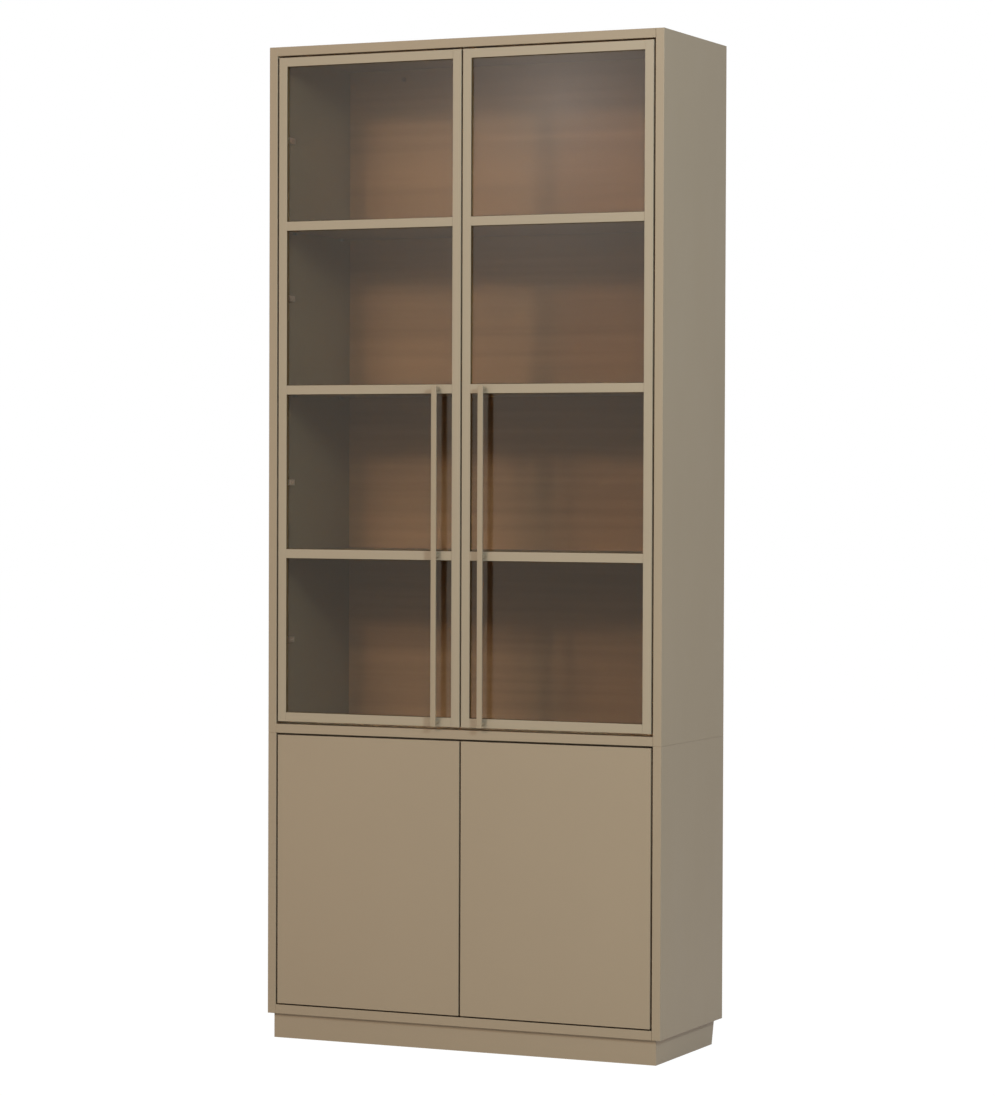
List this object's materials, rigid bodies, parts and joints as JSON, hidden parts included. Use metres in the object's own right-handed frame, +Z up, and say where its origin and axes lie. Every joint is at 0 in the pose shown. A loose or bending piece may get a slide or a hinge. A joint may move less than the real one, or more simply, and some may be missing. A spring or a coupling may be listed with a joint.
{
  "type": "display cabinet",
  "caption": "Tall display cabinet with hinged glazed doors and bar handles above a closed base with hinged plain doors, on a recessed plinth.",
  "frame": {"origin": "floor level, in the middle of the width and of the depth over the handles", "axes": "+X to the cabinet's right as seen from the front, +Y from the front to the back, +Z up"},
  "size_m": [0.9, 0.371, 2.1],
  "materials": {
    "lacquered_board": "satin taupe lacquer",
    "painted_frame": "satin taupe coating",
    "painted_handle": "satin taupe coating",
    "bronze_glass": "polished, tinted bronze",
    "wood_veneer": "horizontal grain, satin",
    "bare_board": "plain board",
    "plated_steel": "nickel plated",
    "grey_plastic": "matt"
  },
  "bodies": {
    "cabinet": {"base_back_panel": "wood_veneer", "base_bottom_panel": "lacquered_board", "base_shelf": "lacquered_board", "base_side_left": "lacquered_board", "base_side_right": "lacquered_board", "base_top_panel": "lacquered_board", "cam_bolts": "plated_steel", "cam_discs": "plated_steel", "hinge_arms": "plated_steel", "hinge_plates": "plated_steel", "levelling_feet": "grey_plastic", "magnet_catches": "grey_plastic", "plinth_corner_blocks": "bare_board", "plinth_front_board": "lacquered_board", "plinth_rear_board": "bare_board", "plinth_side_left": "lacquered_board", "plinth_side_right": "lacquered_board", "push_latch_housings": "grey_plastic", "shelf_supports": "grey_plastic", "unit_bolts": "plated_steel", "unit_nuts": "plated_steel", "upper_back_panel": "wood_veneer", "upper_bottom_panel": "lacquered_board", "upper_shelf_high": "lacquered_board", "upper_shelf_low": "lacquered_board", "upper_shelf_middle": "lacquered_board", "upper_side_left": "lacquered_board", "upper_side_right": "lacquered_board", "upper_top_panel": "lacquered_board"},
    "base_left_door": {"base_left_door_panel": "lacquered_board", "base_left_hinge_cups": "plated_steel", "base_left_strike_disc": "plated_steel"},
    "base_right_door": {"base_right_door_panel": "lacquered_board", "base_right_hinge_cups": "plated_steel", "base_right_strike_disc": "plated_steel"},
    "push_plunger_left": {"push_latch_plunger_left": "grey_plastic"},
    "push_plunger_right": {"push_latch_plunger_right": "grey_plastic"},
    "upper_left_door": {"upper_left_bottom_rail": "painted_frame", "upper_left_glass": "bronze_glass", "upper_left_glass_beads": "painted_frame", "upper_left_handle_bar": "painted_handle", "upper_left_handle_posts": "painted_handle", "upper_left_hinge_cups": "plated_steel", "upper_left_hinge_stile": "painted_frame", "upper_left_meeting_stile": "painted_frame", "upper_left_muntins": "painted_frame", "upper_left_strike_plate": "plated_steel", "upper_left_top_rail": "painted_frame"},
    "upper_right_door": {"upper_right_bottom_rail": "painted_frame", "upper_right_glass": "bronze_glass", "upper_right_glass_beads": "painted_frame", "upper_right_handle_bar": "painted_handle", "upper_right_handle_posts": "painted_handle", "upper_right_hinge_cups": "plated_steel", "upper_right_hinge_stile": "painted_frame", "upper_right_meeting_stile": "painted_frame", "upper_right_muntins": "painted_frame", "upper_right_strike_plate": "plated_steel", "upper_right_top_rail": "painted_frame"}
  },
  "joints": [
    {"name": "upper_left_door_hinge", "type": "hinge", "parent": "cabinet", "child": "upper_left_door", "pos_m": [-0.427, -0.1645, 1.3755], "axis": [0, 0, -1], "range_deg": [0, 105]},
    {"name": "upper_right_door_hinge", "type": "hinge", "parent": "cabinet", "child": "upper_right_door", "pos_m": [0.427, -0.1645, 1.3755], "axis": [0, 0, 1], "range_deg": [0, 105]},
    {"name": "base_left_door_hinge", "type": "hinge", "parent": "cabinet", "child": "base_left_door", "pos_m": [-0.427, -0.1645, 0.3595], "axis": [0, 0, -1], "range_deg": [0, 105]},
    {"name": "base_right_door_hinge", "type": "hinge", "parent": "cabinet", "child": "base_right_door", "pos_m": [0.427, -0.1645, 0.3595], "axis": [0, 0, 1], "range_deg": [0, 105]},
    {"name": "push_plunger_left_slide", "type": "slide", "parent": "cabinet", "child": "push_plunger_left", "axis": [0, -1, 0], "range_m": [0, 0.038]},
    {"name": "push_plunger_right_slide", "type": "slide", "parent": "cabinet", "child": "push_plunger_right", "axis": [0, -1, 0], "range_m": [0, 0.038]}
  ],
  "couplings": [
    {"joint": "push_plunger_left_slide", "follows": "base_left_door_hinge", "m_per_rad": 0.0202},
    {"joint": "push_plunger_right_slide", "follows": "base_right_door_hinge", "m_per_rad": 0.0202}
  ]
}
